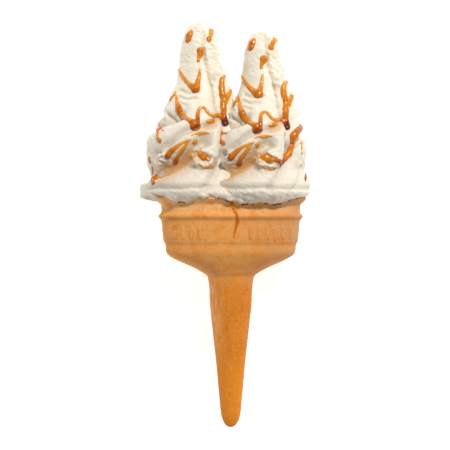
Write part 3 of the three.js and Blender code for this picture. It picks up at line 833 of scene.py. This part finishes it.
def side_point(skin, swirl, turn, height):
    """The point of a swirl's skin at one turn and height."""
    out = Vector((math.sin(math.radians(turn)), 0, math.cos(math.radians(turn))))
    middle = Vector((swirl["x"], RIM_Y + height * swirl["scale"], swirl["z"]))
    return hit(skin, middle + out * SIDE_START, -out)


def skin_of(piece):
    graph = bpy.context.evaluated_depsgraph_get()
    return BVHTree.FromObject(piece, graph)


def bead_tree():
    """Fuses a bead at each point, as large as its bead_radius, into one smooth skin. Gives the tree
    and the identifiers of its inputs for the fineness and the material."""
    tree = bpy.data.node_groups.new("sauce_beads", "GeometryNodeTree")
    tree.interface.new_socket("Points", in_out="INPUT", socket_type="NodeSocketGeometry")
    fineness = tree.interface.new_socket("Fineness", in_out="INPUT", socket_type="NodeSocketFloat")
    finish = tree.interface.new_socket("Finish", in_out="INPUT", socket_type="NodeSocketMaterial")
    tree.interface.new_socket("Sauce", in_out="OUTPUT", socket_type="NodeSocketGeometry")

    def made(kind, output, sockets=(), **settings):
        return add_node(tree, kind, sockets, **settings).outputs[output]

    given = add_node(tree, "NodeGroupInput").outputs
    named = {"Name": "bead_radius"}
    radius = made("GeometryNodeInputNamedAttribute", "Attribute", named, data_type="FLOAT")
    bead = made("GeometryNodeMeshIcoSphere", "Mesh", {"Radius": 1.0, "Subdivisions": 3})
    placing = {"Points": given["Points"], "Instance": bead, "Scale": radius}
    beads = made("GeometryNodeInstanceOnPoints", "Instances", placing)
    real = made("GeometryNodeRealizeInstances", "Geometry", {"Geometry": beads})
    filling = {"Mesh": real, "Voxel Size": given["Fineness"]}
    cloud = made("GeometryNodeMeshToVolume", "Volume", filling, resolution_mode="VOXEL_SIZE")
    skin = made("GeometryNodeVolumeToMesh", "Mesh", {"Volume": cloud, "Threshold": 0.1})
    whole = made("GeometryNodeRealizeInstances", "Geometry", {"Geometry": skin})
    dressed = made("GeometryNodeSetMaterial", "Geometry", {"Geometry": whole, "Material": given["Finish"]})
    add_node(tree, "NodeGroupOutput", {"Sauce": dressed})
    return tree, fineness.identifier, finish.identifier


def sauce(name, fusing, beads, tones, material):
    """Fused sauce over beads, given as rows of x, y, z and radius, each with its tone. It paints
    tone for the sauce's material."""
    tree, fineness, finish = fusing
    beads = np.array(beads)
    piece = mesh_of(name, beads[:, :3], [])
    paint(piece, "bead_radius", beads[:, 3] * MM)
    fuse = piece.modifiers.new("beads", "NODES")
    fuse.node_group = tree
    fuse[fineness] = SAUCE_VOXEL * MM
    fuse[finish] = material
    smoothed(piece, *SAUCE_SMOOTHING)
    finished(piece)

    place(piece, inside_box(positions(piece)))
    near = KDTree(len(beads))
    for i, bead in enumerate(beads):
        near.insert(Vector(bead[:3]), i)
    near.balance()
    tone = np.zeros(len(piece.data.vertices))
    for i, point in enumerate(positions(piece)):
        found = near.find_n(Vector(point), TONE_BEADS)
        tone[i] = sum(tones[index] for _, index, _ in found) / len(found)
    paint(piece, "tone", tone)
    return piece


def eased(thread):
    """A thread's beads, each moved to the mean of its neighbours, but no deeper into the skin. A
    bead is given as its middle, its radius and the skin's normal, and comes back without that."""
    if not thread:
        return []
    rows = np.array(thread)
    even = rows[:, :4].copy()
    for i in range(len(rows)):
        near = min(EASED_OVER, i, len(rows) - 1 - i)
        even[i] = rows[i - near : i + near + 1, :4].mean(axis=0)
    outward = rows[:, 4:]
    deeper = np.minimum(np.einsum("ij,ij->i", even[:, :3] - rows[:, :3], outward), 0)
    even[:, :3] -= deeper[:, None] * outward
    return [tuple(bead) for bead in even]


def pooled(across, height, pools):
    """How much darker a spot is because sauce has pooled there."""
    dark = 0.0
    for x, y, reach, amount in pools:
        dark = max(dark, amount * math.exp(-((math.hypot(across - x, height - y) / reach) ** 2)))
    return dark


def thread_beads(paths, spot_of, pools=(), sink=THREAD_SINK, tone=THREAD_TONE):
    """Beads along each path, and their tones. spot_of finds the spot and the normal on a skin for
    a point of a path, and each bead is sunk there by a share of its radius."""
    beads, tones = [], []
    for path in paths:
        thread = []
        for across, height, half_width in thread_points(path):
            spot, normal = spot_of(across, height)
            if spot is None:
                continue
            wander = noise.noise((across * WANDER_WAVES, height * WANDER_WAVES, WANDER_SEED))
            radius = (half_width + THREAD_EXTRA) * (1 + THREAD_WANDER * wander)
            centre = spot / MM - normal * radius * sink
            centre.z = max(centre.z, radius + OFF_GROUND)
            thread.append((*centre, radius, *normal))
            dark = pooled(across, height, pools)
            tones.append(min(tone + TONE_FOR_WIDTH * half_width + dark, 1.0))
        beads += eased(thread)
    return beads, tones


def lowest_cream(x, cream_skins, cone_skin):
    """The lowest point of the ice cream that shows over the cup at x, in millimetres."""
    for drop in np.arange(*HEM_DROPS):
        cone_spot = seen_point(cone_skin, x, RIM_Y - drop)[0]
        for skin in cream_skins:
            spot = seen_point(skin, x, RIM_Y - drop)[0]
            if spot is not None and (cone_spot is None or spot.z > cone_spot.z):
                return spot / MM
    return None


def hem_shadow_beads(cream_skins, cone_skin):
    """Beads of the dark dashes, a painted shadow line, along the edge where the ice cream ends over the
    cup.
    """
    beads = []
    for first, last in HEM_SHADOW_DASHES:
        spots = [lowest_cream(x, cream_skins, cone_skin) for x in np.arange(first, last, HEM_STEP)]
        edge = np.array([spot for spot in spots if spot is not None])
        depth = np.median(edge[:, 2])
        for i, (x, y, z) in enumerate(edge):
            y = edge[max(i - HEM_EASED_OVER, 0) : i + HEM_EASED_OVER + 1, 1].mean()
            z = np.clip(z, depth - HEM_DEPTH_RANGE, depth + HEM_DEPTH_RANGE)
            radius = HEM_RADIUS * (1 + HEM_RADIUS_WAVE * math.sin(x * 2))
            beads.append((x, y - HEM_SINK[0], z - HEM_SINK[1], radius))
    return beads


# ---------------- materials


class Socket:
    """A value that goes into shader maths, so that it can be written as an expression."""

    def __init__(self, tree, socket):
        self.tree, self.socket = tree, socket

    def _math(self, operation, a, b):
        made = add_node(self.tree, "ShaderNodeMath", {0: a, 1: b}, operation=operation)
        return Socket(self.tree, made.outputs[0])

    def __add__(self, other):
        return self._math("ADD", self, other)

    __radd__ = __add__

    def __mul__(self, other):
        return self._math("MULTIPLY", self, other)

    __rmul__ = __mul__

    def __sub__(self, other):
        return self._math("SUBTRACT", self, other)

    def __rsub__(self, other):
        return self._math("SUBTRACT", other, self)

    def __pow__(self, other):
        return self._math("POWER", self, other)

    def above(self, low, high):
        """0 on low's side and 1 on high's side, with a smooth rise between them."""
        limits = {"Value": self, "From Min": low, "From Max": high}
        made = add_node(self.tree, "ShaderNodeMapRange", limits, interpolation_type="SMOOTHSTEP")
        return Socket(self.tree, made.outputs[0])


class Finish:
    """A material that is built up node by node. Constants of its shader are given by name, with _
    for each space."""

    def __init__(self, name, **constants):
        self.material = bpy.data.materials.new(name)
        self.material.use_nodes = True
        self.tree = self.material.node_tree
        self.shader = self.tree.nodes["Principled BSDF"]
        for key, value in constants.items():
            self.set(key.replace("_", " "), value)

    def set(self, name, value):
        feed(self.tree, self.shader.inputs[name], value)

    def node(self, kind, sockets=(), stops=(), **settings):
        return add_node(self.tree, kind, sockets, stops, **settings)

    def object_place(self):
        return self.node("ShaderNodeTexCoord").outputs["Object"]

    def axis(self, name):
        split = self.node("ShaderNodeSeparateXYZ", {0: self.object_place()})
        return Socket(self.tree, split.outputs[name])

    def grain(self, waves, detail=3.0, roughness=0.5, stretch=(1, 1, 1)):
        """Noise of so many waves in a metre."""
        turned = self.node("ShaderNodeMapping", {"Vector": self.object_place(), "Scale": stretch})
        noise_of = {"Vector": turned.outputs[0], "Scale": waves, "Detail": detail, "Roughness": roughness}
        return Socket(self.tree, self.node("ShaderNodeTexNoise", noise_of).outputs[0])

    def painted(self, name):
        return Socket(self.tree, self.node("ShaderNodeAttribute", attribute_name=name).outputs["Fac"])

    def mix(self, amount, first, second):
        """The first colour, turned into the second by the amount."""
        made = self.node("ShaderNodeMix", {0: amount, 6: first, 7: second}, data_type="RGBA")
        return made.outputs[2]

    def layered(self, colour, layers):
        """A colour with others laid over it, one after another, each by its amount."""
        for amount, over in layers:
            colour = self.mix(amount, colour, over)
        return colour

    def ramp(self, value, stops):
        return self.node("ShaderNodeValToRGB", {0: value}, stops).outputs[0]

    def bump(self, height, distance, strength):
        bump_of = {"Height": height, "Distance": distance, "Strength": strength}
        self.set("Normal", self.node("ShaderNodeBump", bump_of).outputs[0])


def linear(value):
    """A linear share from a display value between 0 and 255."""
    share = value / 255
    return share / 12.92 if value <= 10 else ((share + 0.055) / 1.055) ** 2.4


def shade(red, green, blue):
    return linear(red), linear(green), linear(blue)


def in_metres(low, high):
    return low * MM, high * MM


def cream_finish():
    finish = Finish(
        "ice_cream",
        Roughness=0.5,
        Subsurface_Weight=0.2,
        Subsurface_Scale=0.0015,
        Subsurface_Radius=(1.0, 0.7, 0.4),
    )
    cloudy, crumb = finish.grain(90, 2.0), finish.grain(1300, 2.0, 0.6)
    hollow, deep = finish.painted("hollow"), finish.painted("deep")
    torn, amber = finish.painted("torn"), finish.painted("amber")
    painted_coil_shade = 1 - finish.axis("Y").above(*in_metres(RIM_Y + COIL_SHADE_FROM, RIM_Y + COIL_SHADE_TO))
    layers = [
        (cloudy.above(0.35, 0.65), shade(240, 229, 206)),
        (crumb.above(0.5, 0.68) * 0.4, shade(226, 198, 152)),
        # Painted shade in the small hollows and creases.
        (hollow.above(-0.05, 0.9) * 0.4, shade(206, 184, 148)),
        # Painted shade in the broad hollows, under the overhangs of the coils.
        (deep.above(-0.3, 2.4) * 0.75, shade(196, 176, 144)),
        # Painted shade over the lower coils, which are darker than the peaks.
        (painted_coil_shade * 0.7, shade(218, 207, 189)),
        # Painted highlight on the bumps and crests that stand proud of the smoothed surface.
        (hollow.above(0.1, -0.5) * 0.35, shade(243, 236, 220)),
        # Painted light on the torn places, lifting the shade among their lumps.
        (torn.above(0.5, 1.2) * 0.5, shade(247, 240, 224)),
        # Soaked sauce, and painted warm shade in the grooves.
        (amber * 0.9, shade(212, 160, 90)),
    ]
    finish.set("Base Color", finish.layered(shade(244, 235, 214), layers))
    fine = finish.grain(1500, 2.0, 0.6)
    coarse = finish.grain(520, 3.0, 0.55)
    finish.bump(fine * 0.6 + coarse * (0.4 + torn), distance=0.0006, strength=0.7)
    return finish.material


def sauce_finish():
    finish = Finish(
        "butterscotch_sauce",
        Roughness=0.22,
        Coat_Weight=0.2,
        Coat_Roughness=0.08,
        Specular_IOR_Level=0.35,
    )
    mottle = (finish.grain(420, 2.0) - 0.5) * 0.7
    speckle = (finish.grain(1100, 1.0) - 0.5) * 0.4
    thin_to_pooled = [
        (0.0, shade(232, 160, 50)),
        (0.3, shade(216, 132, 12)),
        (0.58, shade(190, 96, 0)),
        (0.8, shade(146, 60, 0)),
        (1.0, shade(92, 32, 0)),
    ]
    finish.set("Base Color", finish.ramp(finish.painted("tone") + mottle + speckle, thin_to_pooled))
    finish.bump(finish.grain(300, 1.0), distance=0.0003, strength=0.25)
    return finish.material


def stem_colour(finish, x, y):
    """The stem, with a painted highlight at its upper left and painted shade at its upper right, and
    streaked along its grain.
    """
    to_left = CONE_X * MM - x
    low = 1 - y.above(*in_metres(*LOW_STEM_Y))
    streak = finish.grain(260, 3.0, 0.6, stretch=(1.0, 0.16, 1.0))
    layers = [
        # Painted highlight along the stem's left edge.
        (to_left.above(*in_metres(3, 10)), shade(246, 178, 108)),
        # Painted shade along the stem's right edge.
        (to_left.above(*in_metres(-6, -11)) * 0.5, shade(206, 122, 36)),
        (low, shade(230, 136, 20)),
        (streak.above(0.46, 0.6) * (1 - low) * 0.6, shade(196, 104, 14)),
    ]
    return finish.layered(shade(214, 126, 26), layers)


def wafer_finish():
    finish = Finish("wafer", Roughness=0.72, Specular_IOR_Level=0.25)
    x, y = finish.axis("X"), finish.axis("Y")
    rim = y.above(*in_metres(RIM_Y - RIM_SHADE_FROM, RIM_Y - RIM_SHADE_TO))
    down_stem = 1 - y.above(*in_metres(*STEM_COLOUR_Y))
    painted_side_shade = x.above(*in_metres(*SHADED_SIDE_X)) * (1 - down_stem)
    around_bars = finish.painted("bar_edge") * finish.grain(110, 2.0).above(0.4, 0.6)
    mottle, speckle = finish.grain(150, 4.0, 0.6), finish.grain(900, 2.0, 0.6)
    layers = [
        # Painted shade: the cup darker towards its right.
        (x.above(*in_metres(0, 30)), shade(218, 150, 86)),
        # Painted light: the rim paler, against the shadow the ice cream casts on it.
        (rim, shade(252, 198, 134)),
        (down_stem, stem_colour(finish, x, y)),
        # Painted shade: the right side of the cup greyer and darker.
        (painted_side_shade * 0.75, shade(190, 146, 104)),
        (around_bars * 0.6, shade(214, 122, 26)),
        (mottle.above(0.44, 0.66) * 0.6, shade(226, 136, 34)),
        (speckle.above(0.52, 0.68) * 0.5, shade(208, 122, 44)),
        (speckle.above(0.46, 0.3) * 0.4, shade(232, 176, 120)),
    ]
    for spot_x, spot_y, reach, amount in TOAST_SPOTS:
        away = ((x - spot_x * MM) ** 2 + (y - spot_y * MM) ** 2) ** 0.5
        toasted = 1 - away.above(*in_metres(reach * TOAST_CORE, reach))
        layers.append((toasted * amount, shade(214, 108, 4)))
    finish.set("Base Color", finish.layered(shade(230, 160, 84), layers))
    pores = finish.grain(900, 3.0, 0.6)
    finish.bump(pores * 0.6 + mottle * 0.5, distance=0.0004, strength=0.5)
    return finish.material


# ---------------- light and floor


def surroundings():
    scene = bpy.context.scene
    scene.view_settings.view_transform = "Standard"
    world = bpy.data.worlds.new("studio")
    world.use_nodes = True
    background = world.node_tree.nodes["Background"]
    background.inputs["Color"].default_value = (1, 1, 1, 1)
    background.inputs["Strength"].default_value = SKY_LIGHT
    scene.world = world

    data = bpy.data.lights.new("key", "AREA")
    data.shape = "DISK"
    data.size = KEY_WIDTH
    data.energy = KEY_POWER
    lamp = bpy.data.objects.new("key", data)
    lamp.location = KEY_PLACE
    lamp.rotation_euler = (Vector(KEY_AIM) - Vector(KEY_PLACE)).to_track_quat("-Z", "Y").to_euler()
    bpy.context.collection.objects.link(lamp)

    corners = [(-1, -1, 0), (1, -1, 0), (1, 1, 0), (-1, 1, 0)]
    floor = mesh_of("floor", np.array(corners) * FLOOR_HALF, [(0, 1, 2, 3)])
    white = Finish(
        "floor",
        Roughness=0.9,
        Base_Color=(0.9, 0.9, 0.9),
        Emission_Color=(1.0, 1.0, 1.0),
        Emission_Strength=FLOOR_GLOW,
    )
    floor.data.materials.append(white.material)


# ---------------- the whole


def swirl_and_sauce(side, ice_cream, butterscotch, fusing):
    """One swirl's ice cream and the sauce on it. Gives the skin of the ice cream."""
    swirl = SWIRLS[side]
    swirled = cream(side)
    swirled.data.materials.clear()
    swirled.data.materials.append(ice_cream)
    stood_for(swirled, swirl["node"])
    skin = skin_of(swirled)

    def from_above(across, height):
        x = swirl["x"] + across * widening(swirl)
        return seen_point(skin, x, RIM_Y + height * swirl["scale"])

    def from_the_side(arc, height):
        return side_point(skin, swirl, arc / SIDE_ARC, height)

    paths = SAUCE + (RIGHT_ONLY if side == "right" else [])
    beads, tones = thread_beads(paths, from_above, DARK_POOLS)
    side_beads, side_tones = thread_beads(SIDE_SAUCE[side], from_the_side)
    poured = sauce("sauce_" + side, fusing, beads + side_beads, tones + side_tones, butterscotch)
    stood_for(poured, swirl["node"])
    return skin


def sauce_on_cup(cone, cream_skins, butterscotch, fusing):
    """The thin run down the cup and the dashes of painted shadow along the ice cream's lower edge."""
    skin = skin_of(cone)

    def from_above(x, drop):
        return seen_point(skin, x, RIM_Y - drop)

    beads, tones = thread_beads([CUP_RUN], from_above, sink=RUN_SINK, tone=RUN_TONE)
    # Dashes of the darkest sauce that paint the shadow line under the ice cream's edge.
    dashes = hem_shadow_beads(cream_skins, skin)
    run = sauce("cup_run", fusing, beads + dashes, tones + [HEM_SHADOW_TONE] * len(dashes), butterscotch)
    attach(run, "root")


def main():
    camera()
    ice_cream, butterscotch, baked = cream_finish(), sauce_finish(), wafer_finish()
    cone = wafer()
    cone.data.materials.append(baked)
    stood_for(cone, "wafer_cone")
    fusing = bead_tree()
    cream_skins = [swirl_and_sauce(side, ice_cream, butterscotch, fusing) for side in SWIRLS]
    sauce_on_cup(cone, cream_skins, butterscotch, fusing)
    surroundings()


main()
